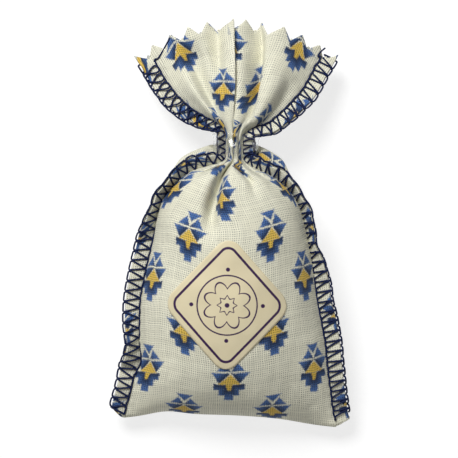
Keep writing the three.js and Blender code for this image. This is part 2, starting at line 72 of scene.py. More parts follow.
def length(label, text, millimetres):
    return FloatProperty(name=label, description=text, default=millimetres * MM, unit="LENGTH", precision=5)


def colour(label, text, value):
    return FloatVectorProperty(name=label, description=text, default=value, subtype="COLOR", min=0, max=1)


def power(label, text, watts):
    return FloatProperty(name=label, description=text, default=watts, unit="POWER")


class SachetCloth(bpy.types.PropertyGroup):
    thickness: length("Cloth thickness", "Thickness of the cotton", 0.42)
    allowance: length("Seam allowance", "Seam line to raw edge", 5.3)
    ply_gap: length("Ply gap", "Opening between the two plies where they lie together", 0.3)
    yarn: length("Yarn pitch", "Distance from one yarn to the next", 0.385)
    tooth_depth: length("Tooth depth", "Depth of the pinked teeth at the mouth", 4.2)
    back_short: length("Back short by", "How far the back's mouth stays below the front's", 2.2)
    teeth: IntProperty(name="Teeth", description="Pinked teeth along each end of the cloth", default=11)
    cream: colour("Cotton", "Bare cotton", srgb(248, 246, 224))
    blue: colour("Blue ink", "Main colour of the print", srgb(61, 105, 171))
    yellow: colour("Yellow ink", "Flower colour of the print", srgb(224, 188, 80))
    overlap: colour("Overlap ink", "Where the yellow ink meets the blue", srgb(14, 24, 44))


class SachetStitching(bpy.types.PropertyGroup):
    diameter: length("Thread diameter", "Diameter of each overlock thread", 0.66)
    pitch: length("Stitch pitch", "Distance from one stitch to the next", 3.5)
    start: length("First stitch", "First stitch above the base fold", 1.6)
    stop_left: length("Left end", "Last stitch short of the mouth on the left", 5.2)
    stop_right: length("Right end", "Last stitch short of the mouth on the right", 3.4)
    navy: colour("Thread", "Navy sewing thread", srgb(13, 24, 58))


class SachetBand(bpy.types.PropertyGroup):
    wall: length("Band wall", "Thickness of the clear film", 0.25)
    half_width: length("Band half width", "Middle of the band to its side", 7.6)
    half_depth: length("Band half depth", "Middle of the band to its top", 6.2)
    ripple: length("Band ripple", "How far the slack film waves along the neck", 0.45)
    tint: colour("Film", "Colour of the clear film", (0.97, 0.98, 0.98))


class SachetLabel(bpy.types.PropertyGroup):
    width: length("Label width", "Label across its side corners", 41.2)
    height: length("Label height", "Label across its upper and lower corners", 44.8)
    corner: length("Label corner", "Length of each side that a corner's curve takes", 5.6)
    thickness: length("Paper thickness", "Thickness of the label paper", 0.2)
    inset: length("Border inset", "Label edge to the border line", 2.4)
    line: length("Border line", "Width of the border line", 0.85)
    paper: colour("Paper", "Cream label paper", srgb(230, 218, 183))
    ink: colour("Label ink", "Dark purple ink", srgb(58, 30, 76))


class SachetStage(bpy.types.PropertyGroup):
    floor: length("Floor size", "Side of the floor", 4000)
    camera_height: length("Camera height", "Camera above the sachet", 900)
    view_width: length("View width", "Width of the view at the sachet", 160.3)
    key_power: power("Key light", "Power of the key light", 9.5)
    fill_power: power("Fill light", "Power of the fill light", 0.85)
    sky: FloatProperty(name="Sky", description="Strength of the even light all round", default=0.17)


# Form of the bag, in millimetres

# Cross-sections from the base fold to the mouth: height along the bag, half width between the seams,
# sideways shift, drop of the right end, seam height, how far the front and back plies stand off it,
# bow of the middle towards the mouth, extra bow of the back, half angle of each ply's curve, the two
# seam allowances' widths and their tilts towards the front in degrees.
FIELDS = ("y", "half", "shift", "drop", "seam", "front", "back", "bow", "puff", "arc",
          "left_width", "right_width", "left_tilt", "right_tilt")
SECTIONS = {
    "base": (-42.8, 37, 0, 1.5, 8, 0, 0, 2.4, 0, 0.3, 1.6, 5.5, 5, 0),
    "heel": (-39, 36.2, 0, 1.5, 9, 7, 6, 1.2, 0, 0.7, 5.3, 5.3, 5, 0),
    "lower": (-30.3, 34.4, 0.4, 1, 11.5, 12.5, 10.5, -0.8, 0, 0.85, 5.3, 5.3, 3, 4),
    "flank": (-15.8, 32.7, 0.6, 0.5, 13.5, 16.5, 13.5, -2.5, 0, 0.95, 5.3, 5.3, 36, 15),
    "belly": (2.2, 30.5, -0.3, 0, 15, 18.5, 16, -3.5, 0, 1.05, 5.3, 5.3, 5, 24),
    "chest": (19.8, 27.3, 0.3, 0, 16, 18.5, 16.5, -5, 0.5, 1.2, 5.3, 5.3, 12, 62),
    "shoulder": (34.1, 23.9, -0.2, 0, 18, 15, 15.5, -6, 2.5, 1.3, 5.3, 5.3, 66, 63),
    "throat": (43.6, 14.9, 0.5, 0.8, 19.5, 9.5, 13, -2.5, 10, 1.4, 5.3, 4.9, 46, 50),
    "collar": (46.3, 8, 1, 0.6, 19.3, 7, 11.4, -1, 9.5, 1.45, 4.5, 4.4, 36, 40),
    "bend in": (47.5, 4.8, 1.3, 0.2, 18.9, 5.4, 7.6, -0.3, 1, 1.5, 3, 4, 30, 30),
    "neck bottom": (49.8, 2.9, 1.5, 0, 18.5, 4.6, 4.6, 0, 0, 1.5, 2.6, 3.8, 24, 22),
    "neck top": (56.6, 2.9, 1.5, 0.4, 18.5, 4.6, 4.6, 0, 0, 1.5, 2.6, 3.8, 30, 30),
    "bend out": (59.4, 4.6, 1.7, 0.8, 17.9, 5.4, 4.6, 0.8, 0, 1.3, 2.9, 4, 48, 56),
    "flare": (62.7, 11.2, 2, 1.3, 16.7, 6.8, 5, 2.6, 0, 0.9, 4.2, 4.6, 20, 42),
    "fan": (72, 21.4, 2.4, 0.2, 14, 8, 5.6, 5.4, 0, 0.6, 5.3, 5.3, 12, 18),
    "crest": (82, 27.5, 2.3, 0, 11, 8, 5.6, 8, 0, 0.5, 5.3, 5.3, 8, 8),
    "mouth": (88.2, 31.3, 2.1, 0, 9, 8, 5, 10, 0, 0.5, 5.3, 5.3, 8, 8),
}
NAMES = list(SECTIONS)
PLACE = {name: place for place, name in enumerate(NAMES)}
LAST = len(NAMES) - 1
CLOTH_WIDTH = 74.0  # flat cloth between the seams
STRIP_HALF = 165.0  # room along the cloth in its map, either side of the base fold

# Valleys between gathers: first and last section, place across the cloth at each, depth as a share of
# the ply's height, the widths of the left and right banks as shares of the cloth, and the share of the
# row's spare cloth that the valley hides.
FRONT_VALLEYS = (
    ("shoulder", "bend in", 0.405, 0.412, 0.72, 0.050, 0.034, 0.12),
    ("throat", "bend in", 0.66, 0.50, 0.55, 0.030, 0.050, 0.0),
    ("throat", "bend in", 0.16, 0.26, 0.30, 0.040, 0.040, 0.22),
    ("throat", "bend in", 0.84, 0.74, 0.30, 0.045, 0.045, 0.10),
    ("flare", "crest", 0.235, 0.205, 0.85, 0.050, 0.080, 0.38),
    ("fan", "mouth", 0.375, 0.400, 0.82, 0.075, 0.032, 0.0),
    ("flare", "mouth", 0.715, 0.64, 0.92, 0.110, 0.030, 0.0),
    ("bend out", "fan", 0.92, 0.90, 0.90, 0.050, 0.080, 0.08),
)
BACK_VALLEYS = (
    ("shoulder", "throat", 0.36, 0.40, 0.45, 0.050, 0.050, 0.0),
    ("shoulder", "throat", 0.64, 0.60, 0.45, 0.050, 0.050, 0.0),
    ("bend out", "mouth", 0.30, 0.26, 0.50, 0.060, 0.060, 0.0),
    ("bend out", "mouth", 0.50, 0.48, 0.50, 0.060, 0.060, 0.0),
    ("bend out", "mouth", 0.70, 0.74, 0.50, 0.060, 0.060, 0.0),
)
VALLEY_RUN_IN = 0.8  # sections before and after its first one over which a valley deepens
LEAST_SHARE = 0.08  # of the ply's height that is left at the bottom of a valley
# Tight gathers in the neck: place across the cloth, depth in millimetres, width.
NECK_GATHERS = ((0.20, 1.3, 0.050), (0.46, 1.7, 0.036), (0.66, 1.2, 0.040), (0.84, 1.6, 0.050))
LEAST_STAND = 0.15  # millimetres that the middle of a ply keeps off the seam in the gathers

# Places across the cloth, from 0 at the left seam to 1 at the right
PLEAT = 0.469  # the fan's folded pleat
PLEAT_WIDTH = 0.024  # half of each of its panels
PLEAT_OVERLAP = 0.084  # move of its panels over each other, as a share of the section's half width
PLEAT_RISE, PLEAT_DROP = 0.8, 1.2  # millimetres that its left panel rises and its right one drops
RIDGE = 0.725  # the rolled ridge to the right of the pleat, at the mouth
RIDGE_LEAN = 0.034  # move of that ridge outwards from one section to the next below
SEAM_RIDGE = 0.145  # the soft ridge beside the left seam
SEAM_RIDGE_RISE = 2.0  # millimetres that it rises

# Cloth out of sight, in millimetres
PLEAT_CLOTH = 7.0  # in the fan's pleat, and with it a share of what else the row can spare
PLEAT_SHARE = 0.58
PUCKER_LEFT, PUCKER_RIGHT = 3.0, 6.0  # in the puckers at the shoulders' seams
TAKEN_LEFT, TAKEN_RIGHT = 2.0, 0.5  # in the seams
WIDER_LEFT, WIDER_RIGHT = 5.0, 1.5  # how much further out the seams are above the neck
RAW_LEFT, RAW_RIGHT = 2.6, 0.5  # and the allowances
NECK_CLOTH, NECK_SPREAD = 6.2, 26  # along the gathers, and how far from the middle it ends
FAN_CLOTH = 1.5  # along the fan
SEAM_CLOTH, SEAM_PLACE = 2.0, 30  # along the seams, and how far from the middle it is full
PRINT_SHIFT, PRINT_LEAN = 5.7, 0.055  # shift of the print along the cloth, and its lean to the cut
EVEN_REACH = 12  # grid columns over which the print is evened out in the neck

# Tuck in the left seam above the base: section coordinate, reach in sections, how far it draws the cloth in,
# and how much wider the seam allowance is there.
TUCK, TUCK_REACH, TUCK_DEPTH, TUCK_WIDER = 2.62, 0.3, 1.6, 1.4
# Waves of the base fold: height, place across the cloth and width.
BASE_WAVES = ((1.3, 0.2, 0.1), (-0.6, 0.9, 0.12))
PUFF_SPREAD = 0.55  # how far the back's bulge spreads sideways, as a share of it
# Waves in the tilt of the seam allowances: degrees, turn for each section and phase.
SWAYS = ((4.5, 5.1, 1), (2.5, 11.3, 2))
CURL, CURL_WIDTH = 2.4, 5.5  # how far the allowance's edge curls up at the base fold, and its width there


def smoothstep(value, low, high):
    share = min(max((value - low) / (high - low), 0), 1)
    return share * share * (3 - 2 * share)


def bump(value, centre, width):
    return math.exp(-((value - centre) / width) ** 2)


def field(name, t):
    """Smooth value of one section field at section coordinate t, with no overshoot."""
    column = FIELDS.index(name)
    first = min(max(int(math.floor(t)), 0), LAST - 1)

    def value(k):
        return SECTIONS[NAMES[min(max(k, 0), LAST)]][column]

    def slope(k):
        before, after = value(k) - value(k - 1), value(k + 1) - value(k)
        if k == LAST:
            return before
        return 2 * before * after / (before + after) if before * after > 0 else 0

    u = t - first
    rise = u * u * (3 - 2 * u)
    return (value(first) * (1 - rise) + value(first + 1) * rise
            + slope(first) * u * (1 - u) ** 2 - slope(first + 1) * u * u * (1 - u))


class Section:
    """All the fields at one section coordinate."""

    def __init__(self, t):
        self.t = t
        for name in FIELDS:
            setattr(self, name, field(name, t))


def valley_place(valley, t):
    """Place across the cloth and strength of a valley at t."""
    start, end = PLACE[valley[0]], PLACE[valley[1]]
    along = min(max((t - start) / (end - start), 0), 1)
    strength = smoothstep(t, start - VALLEY_RUN_IN, start + VALLEY_RUN_IN)
    if end < LAST:
        strength *= 1 - smoothstep(t, end - 0.4, end + 0.6)
    return valley[2] + (valley[3] - valley[2]) * along, strength


def valley_share(valleys, s, t):
    """Share of the ply's height that its valleys leave."""
    share = 1.0
    for valley in valleys:
        centre, strength = valley_place(valley, t)
        depth, left_bank, right_bank = valley[4:7]
        share -= depth * strength * bump(s, centre, left_bank if s < centre else right_bank)
    return max(share, LEAST_SHARE)


def neck_gather(s, t):
    """Depth of the tight gathers, strongest in the neck and gone a little way out of it."""
    inwards = smoothstep(t, PLACE["throat"] - 0.6, PLACE["neck bottom"])
    outwards = 1 - smoothstep(t, PLACE["neck top"], PLACE["fan"] - 0.2)
    strength = inwards * outwards
    if strength == 0:
        return 0.0
    return strength * sum(depth * bump(s, place, width) for place, depth, width in NECK_GATHERS)


def pleat_strength(t):
    return smoothstep(t, PLACE["bend out"] + 0.1, PLACE["fan"])


def knife_pleat(s, section):
    """Sideways and upward move of the fan's front in its pleat, whose left panel lies over the right one, and
    in its ridges."""
    strength = pleat_strength(section.t)
    if strength == 0:
        return 0.0, 0.0
    over = bump(s, PLEAT - PLEAT_WIDTH, PLEAT_WIDTH)
    under = bump(s, PLEAT + PLEAT_WIDTH, PLEAT_WIDTH)
    reach = PLEAT_OVERLAP * section.half * strength
    low = 1 - smoothstep(section.t, PLACE["flare"] + 0.5, PLACE["crest"])
    ridge = RIDGE + RIDGE_LEAN * (LAST - section.t)
    roll = (0.06 + 0.08 * low) * section.half * bump(s, ridge - 0.04, 0.042)
    crest = bump(s, ridge, 0.040 if s < ridge else 0.090)
    rise = PLEAT_RISE * over - PLEAT_DROP * under + (1.2 + 2.2 * low) * crest
    rise += SEAM_RIDGE_RISE * low * bump(s, SEAM_RIDGE, 0.055)
    return reach * (over - under) - roll * strength, rise * strength


def hidden_cloth(s, t, spare):
    """Cloth out of sight between the front's left seam and s, in a row with spare millimetres of it: in the
    fan's pleat, in puckers at the shoulders' seams and at the bottom of valleys."""
    pleated = pleat_strength(t)
    puckered = smoothstep(t, PLACE["chest"], PLACE["shoulder"])
    puckered *= 1 - smoothstep(t, PLACE["throat"], PLACE["bend in"])
    rest = max(spare - PLEAT_CLOTH * pleated - (PUCKER_LEFT + PUCKER_RIGHT) * puckered, 0)
    hidden = puckered * (PUCKER_LEFT * smoothstep(s, 0, 0.08) + PUCKER_RIGHT * smoothstep(s, 0.92, 1))
    hidden += pleated * (PLEAT_CLOTH + PLEAT_SHARE * rest) * smoothstep(s, PLEAT - 0.02, PLEAT + 0.02)
    for valley in FRONT_VALLEYS:
        centre, strength = valley_place(valley, t)
        hidden += rest * valley[7] * strength * smoothstep(s, centre - 0.015, centre + 0.015)
    return hidden


def wrinkle(point, scale, seed):
    return noise.noise(Vector((point[0] * scale + seed, point[1] * scale, point[2] * scale * 0.6)))


def tuck(t):
    return bump(t, TUCK, TUCK_REACH)


def drawn_in(across, t):
    """How far the tuck draws in the cloth at across, from -1 at the left seam to 1 at the right."""
    return TUCK_DEPTH * tuck(t) * smoothstep(-across, 0.5, 1)


def ply_point(face, s, section, lift, inset=0.0):
    """Middle of the front (1) or back (-1) ply at s across it, from 0 at the left seam to 1 at the right."""
    across = 2 * s - 1
    crown = (math.cos(section.arc * across) - math.cos(section.arc)) / (1 - math.cos(section.arc))
    crown = max(crown, 0.0)
    sweep = math.sin(section.arc * across) / math.sin(section.arc)
    valleys = FRONT_VALLEYS if face > 0 else BACK_VALLEYS
    stand = (section.front if face > 0 else section.back) * crown
    stand *= valley_share(valleys, s, section.t)
    stand = max(stand - neck_gather(s, section.t) * min(crown * 2, 1), LEAST_STAND * crown)
    puff = section.puff * crown ** 0.3 if face < 0 else 0.0
    x = section.shift + sweep * max(section.half - inset, 0.2) + PUFF_SPREAD * puff * across
    x += drawn_in(across, section.t)
    y = section.y - sweep * section.drop + section.bow * crown + puff * (1 + 0.1 * across)
    z = section.seam + face * (lift + stand)
    edge = 1 - smoothstep(section.t, 0, 1.6)
    y += edge * sum(height * bump(s, place, width) for height, place, width in BASE_WAVES)
    if face > 0:
        aside, rise = knife_pleat(s, section)
        x += aside
        z += rise
    return Vector((x, y, z))


class Flange:
    """A seam allowance at t: its seam point, outward and front-facing directions and width."""

    def __init__(self, side, t):
        reach = 0.28
        low, high = Section(max(t - reach, 0)), Section(min(t + reach, LAST))
        section = Section(t)
        self.origin = self.seam(side, section)
        along = (self.seam(side, high) - self.seam(side, low)).normalized()
        up = (Vector((0, 0, 1)) - along * along.z).normalized()
        level = along.cross(up) * side
        tilt = section.left_tilt if side < 0 else section.right_tilt
        sway = sum(size * math.sin(rate * t + phase * side) for size, rate, phase in SWAYS)
        tilt = math.radians(tilt + sway * smoothstep(t, 0, 2))
        self.outward = level * math.cos(tilt) + up * math.sin(tilt)
        self.curl = along * CURL * (1 - smoothstep(t, 0, 0.6))
        self.normal = up * math.cos(tilt) - level * math.sin(tilt)
        self.width = section.left_width + TUCK_WIDER * tuck(t) if side < 0 else section.right_width

    @staticmethod
    def seam(side, section):
        return Vector((section.shift + side * section.half + drawn_in(side, section.t),
                       section.y - side * section.drop, section.seam))

    def point(self, out, off):
        return self.origin + self.outward * out + self.normal * off + self.curl * (out / CURL_WIDTH) ** 2


def sample_lengths(points):
    """Distance along a chain of points to each of them."""
    lengths = [0.0]
    for before, after in zip(points, points[1:]):
        lengths.append(lengths[-1] + (after - before).length)
    return lengths


def running_mean(values, reach):
    """Mean of the values up to reach places either side, or as many as both sides have."""
    means = []
    for k in range(len(values)):
        room = min(reach, k, len(values) - 1 - k)
        means.append(sum(values[k - room:k + room + 1]) / (2 * room + 1))
    return means


def look_up(value, xs, ys):
    """Straight interpolation in two rising lists."""
    low, high = 0, len(xs) - 1
    while high - low > 1:
        middle = (low + high) // 2
        if xs[middle] <= value:
            low = middle
        else:
            high = middle
    share = (value - xs[low]) / (xs[high] - xs[low])
    return ys[low] + (ys[high] - ys[low]) * share


# Helpers for pieces and materials

def finish_piece(name, mesh, nodes, materials):
    """Adds a mesh as a piece that rides on the sachet and stands for its CAD solids."""
    piece = bpy.data.objects.new(name, mesh)
    bpy.context.scene.collection.objects.link(piece)
    for material in materials:
        mesh.materials.append(material)
    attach(piece, "root")
    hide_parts(*nodes)
    return piece


def smoothed(mesh):
    for polygon in mesh.polygons:
        polygon.use_smooth = True
    return mesh


def mesh_from(bm, name):
    mesh = bpy.data.meshes.new(name)
    bm.to_mesh(mesh)
    bm.free()
    return smoothed(mesh)


def lay_map(bm, name, places):
    """Gives a mesh its own map, with a place for each vertex by its number."""
    layer = bm.loops.layers.uv.new(name)
    for face in bm.faces:
        for loop in face.loops:
            loop[layer].uv = places[loop.vert.index]


def thicken(piece, name, thickness, offset):
    wall = piece.modifiers.new(name, "SOLIDIFY")
    wall.thickness = thickness
    wall.offset = offset
    return wall


def bag_surface(context):
    return BVHTree.FromObject(bpy.data.objects["cotton_bag"], context.evaluated_depsgraph_get())


def top_of(surface, x, y):
    """Point of a surface that is seen from above at x and y, or None."""
    return surface.ray_cast(Vector((x, y, 0.1)), Vector((0, 0, -1)))[0]


def toned(tint, *factors):
    """A colour times one factor, or one for each channel, up to full."""
    factors = factors if len(factors) == 3 else factors * 3
    return tuple(min(channel * factor, 1) for channel, factor in zip(tint, factors))


class Value:
    """A number in a material's node tree, so that its formulas read as arithmetic."""

    def __init__(self, tree, socket):
        self.tree = tree
        self.socket = socket

    def math(self, operation, *others, clamp=False):
        node = self.tree.nodes.new("ShaderNodeMath")
        node.operation = operation
        node.use_clamp = clamp
        for place, item in enumerate((self, *others)):
            if isinstance(item, Value):
                self.tree.links.new(item.socket, node.inputs[place])
            else:
                node.inputs[place].default_value = item
        return Value(self.tree, node.outputs[0])

    def __add__(self, other):
        return self.math("ADD", other)

    def __sub__(self, other):
        return self.math("SUBTRACT", other)

    def __mul__(self, other):
        return self.math("MULTIPLY", other)

    def __truediv__(self, other):
        return self.math("DIVIDE", other)

    def __abs__(self):
        return self.math("ABSOLUTE")

    def scaled(self, factor, offset):
        return self.math("MULTIPLY_ADD", factor, offset)

    def sine(self):
        return self.math("SINE")

    def clamped(self):
        return self.math("ADD", 0.0, clamp=True)

    def most(self, *others):
        result = self
        for other in others:
            result = result.math("MAXIMUM", other)
        return result

    def soft(self, blur):
        """0 below minus half the blur, 1 above plus half of it."""
        return self.math("MULTIPLY_ADD", 1 / blur, 0.5, clamp=True)


class Finish:
    """A new material with a Principled shader and short calls for the nodes it needs."""

    def __init__(self, name):
        self.material = bpy.data.materials.new(name)
        self.material.use_nodes = True
        self.tree = self.material.node_tree
        self.shader = self.tree.nodes["Principled BSDF"]

    def set(self, **values):
        for name, value in values.items():
            socket = self.shader.inputs[name.replace("_", " ")]
            socket.default_value = (*value, 1) if isinstance(value, tuple) else value

    def link(self, item, socket):
        source = item.socket if isinstance(item, Value) else item
        self.tree.links.new(source, self.shader.inputs[socket])

    def map_of_piece(self, name):
        """The two coordinates of the piece's own map."""
        node = self.tree.nodes.new("ShaderNodeUVMap")
        node.uv_map = name
        split = self.tree.nodes.new("ShaderNodeSeparateXYZ")
        self.tree.links.new(node.outputs[0], split.inputs[0])
        return Value(self.tree, split.outputs[0]), Value(self.tree, split.outputs[1])

    def joined(self, x, y):
        node = self.tree.nodes.new("ShaderNodeCombineXYZ")
        for place, item in enumerate((x, y)):
            self.tree.links.new(item.socket, node.inputs[place])
        return node.outputs[0]

    def place_on_piece(self):
        return self.tree.nodes.new("ShaderNodeTexCoord").outputs["Object"]

    def noise(self, vector, scale, detail=2.0, roughness=0.5):
        node = self.tree.nodes.new("ShaderNodeTexNoise")
        node.inputs["Scale"].default_value = scale
        node.inputs["Detail"].default_value = detail
        node.inputs["Roughness"].default_value = roughness
        self.tree.links.new(vector, node.inputs["Vector"])
        return Value(self.tree, node.outputs[0])

    def mix(self, factor, first, second):
        node = self.tree.nodes.new("ShaderNodeMix")
        node.data_type = "RGBA"
        self.tree.links.new(factor.socket, node.inputs[0])
        for socket, item in ((node.inputs[6], first), (node.inputs[7], second)):
            if isinstance(item, tuple):
                socket.default_value = (*item, 1)
            else:
                self.tree.links.new(item, socket)
        return node.outputs[2]

    def bump(self, height, distance, strength=1.0):
        node = self.tree.nodes.new("ShaderNodeBump")
        node.inputs["Strength"].default_value = strength
        node.inputs["Distance"].default_value = distance
        self.tree.links.new(height.socket, node.inputs["Height"])
        self.tree.links.new(node.outputs[0], self.shader.inputs["Normal"])


# Finishes

def half_planes(x, y, points):
    """Distance inside the edges of a chain of points that runs anticlockwise, in the points' unit."""
    result = None
    for (ax, ay), (bx, by) in zip(points, points[1:]):
        span = math.hypot(bx - ax, by - ay)
        nx, ny = (ay - by) / span, (bx - ax) / span
        inside = x.scaled(nx, 0.0).math("ADD", y.scaled(ny, -(ax * nx + ay * ny)))
        result = inside if result is None else result.math("MINIMUM", inside)
    return result


# The print in millimetres: distance between columns of flowers, place of the middle one, distance between the
# flowers of a column, place of the first, top of a flower's cell, and the right half of a flower.
COLUMN_PITCH, COLUMN_PLACE = 15.35, -0.75
FLOWER_PITCH, FLOWER_PLACE, FLOWER_TOP = 32.5, 16.5, 15.0
BLUE_SHAPES = (
    ((0, 6.95), (2.55, 9.8), (0, 9.8)),
    ((0.35, 5.1), (4.55, 5.1), (2.15, 8.2), (0.35, 5.1)),
    ((3.4, 0.35), (6.3, 4.2), (0.5, 4.2), (3.4, 0.35)),
    ((0, -2.5), (5.2, -2.5), (5.2, -0.25), (0, -0.25)),
    ((0, -4.85), (3.4, -4.85), (3.4, -2.2), (0, -2.2)),
    ((0, -7.1), (1.45, -7.1), (1.45, -4.5), (0, -4.5)),
)
YELLOW_SHAPES = (
    ((0, -0.3), (3.8, -0.1), (0, 4.0)),
    ((0, -2.7), (0.5, -2.7), (1.1, -0.2), (0, -0.2)),
)


def flower_print(u, v):
    """Distances inside the blue and the yellow of the print's stepped flower, in millimetres."""
    column = ((u - COLUMN_PLACE) / COLUMN_PITCH).math("ROUND")
    odd = abs(column).math("MODULO", 2.0)
    x = abs(u - column.scaled(COLUMN_PITCH, COLUMN_PLACE))
    y = v - odd.scaled(-FLOWER_PITCH / 2, FLOWER_PLACE)
    y = y.math("WRAP", FLOWER_TOP, FLOWER_TOP - FLOWER_PITCH)
    inks = []
    for shapes in (BLUE_SHAPES, YELLOW_SHAPES):
        first, *others = [half_planes(x, y, chain) for chain in shapes]
        inks.append(first.most(*others))
    return inks


def printed_cotton(cloth, name, ink):
    """Plain-weave cotton with its print; ink is how much of the print shows on this side."""
    finish = Finish(name)
    across, along = finish.map_of_piece("Cloth")
    width = CLOTH_WIDTH + 2 * cloth.allowance / MM
    u = across.scaled(width, -width / 2)
    v = along.scaled(2 * STRIP_HALF, -STRIP_HALF)
    yarn = cloth.yarn / MM
    flat = finish.joined(u, v)
    drift = (finish.noise(flat, 0.3, 2.0) - 0.5) * 0.7
    # Pores between the yarns, near 1 in the gaps: the colours below darken them as painted shade, and the
    # bump sinks them.
    pores = ((u + drift) * (math.pi / yarn)).sine().scaled(0.5, 0.5)
    pores = pores * ((v - drift) * (math.pi / yarn)).sine().scaled(0.5, 0.5)
    warp = finish.noise(finish.joined(u * (1 / yarn), v * 0.05), 1.0, 1.0)
    weft = finish.noise(finish.joined(u * 0.05, v * (1 / yarn)), 1.0, 1.0)
    slub = warp + weft - 1.0
    fuzz = finish.noise(flat, 3.0, 3.0)
    cloud = finish.noise(flat, 0.08, 2.0)

    ragged = (finish.noise(flat, 1.5, 1.0) - 0.5) * 0.9 + (fuzz - 0.5) * 0.5
    blue, yellow = flower_print(u, v)
    blue_ink = (blue + ragged + 0.12).soft(0.55)
    yellow_ink = (yellow + ragged + 0.02).soft(0.5)
    meeting = (yellow + ragged + 2.1).soft(3.0) * blue_ink
    strength = ((fuzz - 0.5) * 0.3).math("ADD", ink * 0.97, clamp=True)

    def yarns(tint, dark):
        """A colour with painted shade in the pores between its yarns."""
        return finish.mix(pores, tuple(tint), toned(tint, dark))

    bare = yarns(cloth.cream, 0.04)
    bare = finish.mix(slub.scaled(2.0, 0.45).clamped(), bare, toned(cloth.cream, 0.74))
    clouded = (cloud - 0.45).math("MULTIPLY", 1.2, clamp=True)
    bare = finish.mix(clouded, bare, toned(cloth.cream, 0.95, 0.94, 0.90))
    printed = finish.mix(blue_ink * strength, bare, yarns(cloth.blue, 0.1))
    printed = finish.mix(meeting * strength * 0.85, printed, tuple(cloth.overlap))
    printed = finish.mix(yellow_ink * strength, printed, yarns(cloth.yellow, 0.2))
    finish.link(printed, "Base Color")
    finish.link(fuzz.scaled(0.15, 0.78), "Roughness")
    finish.set(Sheen_Weight=0.12, Sheen_Roughness=0.5, Specular_IOR_Level=0.25)
    finish.bump(slub * 0.7 + fuzz * 0.35 - pores, 0.07 * MM, 0.75)
    return finish.material


def sewing_thread(stitching):
    finish = Finish("Navy thread")
    strand = finish.noise(finish.place_on_piece(), 2600.0, 2.0)
    dyed = finish.mix(strand.scaled(2.2, -0.75).clamped(), tuple(stitching.navy), toned(stitching.navy, 2.2))
    finish.link(dyed, "Base Color")
    finish.link(strand.scaled(0.25, 0.45), "Roughness")
    finish.set(Specular_IOR_Level=0.2)
    finish.bump(strand, 0.05 * MM, 0.8)
    return finish.material


def clear_film(band):
    finish = Finish("Clear film")
    ripple = finish.noise(finish.place_on_piece(), 260.0, 2.0)
    finish.set(Base_Color=tuple(band.tint), Transmission_Weight=1.0, IOR=1.05)
    finish.set(Coat_Weight=0.6, Coat_Roughness=0.08)
    finish.link(ripple.scaled(0.08, 0.03), "Roughness")
    finish.bump(ripple, 0.12 * MM, 0.5)
    return finish.material


# Ornament on the label, in millimetres: radius between the petals, what they add, and half the line.
ROSE = (5.6, 2.6, 0.3)
HEART = (3.4, -1.1, 0.22)
RING = (10.2, 0.0, 0.25)
SEED_RADIUS = 0.8
BEADS, BEAD_PLACE, BEAD_RADIUS = 4, 12.2, 0.7


def label_paper(label):
    """Smooth cream paper with a border line, a plain rosette and a painted highlight along its edge."""
    finish = Finish("Label paper")
    across, up = finish.map_of_piece("Label")
    width, height = label.width / MM, label.height / MM
    x = across.scaled(width, -width / 2)
    y = up.scaled(height, -height / 2)
    flat = finish.joined(x, y)
    fibre = finish.noise(flat, 2.2, 4.0, 0.6)
    cloud = finish.noise(flat, 0.12, 2.0)
    radius = (x * x + y * y).math("SQRT")
    angle = y.math("ARCTAN2", x)
    petals = abs((angle * 4.0).sine())
    ragged = (fibre - 0.5) * 0.12

    inside = edge_distance(x, y, width, height, label.corner / MM)
    border = abs(inside - label.inset / MM).scaled(-1.0, label.line / MM / 2)
    drawn = border.most(radius.scaled(-1.0, SEED_RADIUS))
    for low, petal, half_line in (ROSE, HEART, RING):
        drawn = drawn.most(abs(radius - petals.scaled(petal, low)).scaled(-1.0, half_line))
    for bead in range(BEADS):
        turn = 2 * math.pi * bead / BEADS
        dx, dy = x - BEAD_PLACE * math.cos(turn), y - BEAD_PLACE * math.sin(turn)
        drawn = drawn.most((dx * dx + dy * dy).math("SQRT").scaled(-1.0, BEAD_RADIUS))
    ink = (drawn + ragged).soft(0.18)
    paper = finish.mix((cloud * 0.9 + fibre * 0.3 - 0.4).clamped(), tuple(label.paper),
                       toned(label.paper, 0.94, 0.92, 0.86))
    # A lighter rim along the label's edge: a painted highlight, strongest at the edge and gone about half a
    # millimetre in.
    edge_highlight = (inside + ragged * 3.0).math("MULTIPLY_ADD", -2.2, 1.0, clamp=True)
    paper = finish.mix(edge_highlight * 0.5, paper, toned(label.paper, 1.08))
    finish.link(finish.mix(ink, paper, tuple(label.ink)), "Base Color")
    finish.link(fibre.scaled(0.2, 0.38), "Roughness")
    finish.set(Specular_IOR_Level=0.4)
    finish.bump(fibre, 0.03 * MM, 0.5)
    return finish.material


def sharp_reach(width, height, corner):
    """Half width and half height of the label's diamond before its corners are rounded."""
    side = math.hypot(width, height)
    return width / 2 + corner * width / side / 2, height / 2 + corner * height / side / 2


def edge_distance(x, y, width, height, corner):
    """Distance inside the label's edge and its rounded corners, up to their radius."""
    reach_x, reach_y = sharp_reach(width, height, corner)
    span = math.hypot(reach_x, reach_y)
    past = []
    for turn in (1, -1):
        from_middle = abs(x * (reach_y / span) + y * (turn * reach_x / span))
        past.append((from_middle - (reach_x * reach_y / span - corner)).most(0.0))
    return (past[0] * past[0] + past[1] * past[1]).math("SQRT").scaled(-1.0, corner)


def dried_lavender():
    finish = Finish("Dried lavender")
    place = finish.place_on_piece()
    buds = finish.noise(place, 520.0, 3.0)
    stalks = finish.noise(place, 160.0, 2.0)
    purple = finish.mix(buds, srgb(72, 58, 98), srgb(140, 124, 166))
    dried = finish.mix((stalks - 0.5).math("MULTIPLY", 3.0, clamp=True), purple, srgb(120, 118, 88))
    finish.link(dried, "Base Color")
    finish.link(buds.scaled(0.2, 0.75), "Roughness")
    finish.bump(buds, 0.8 * MM)
    return finish.material


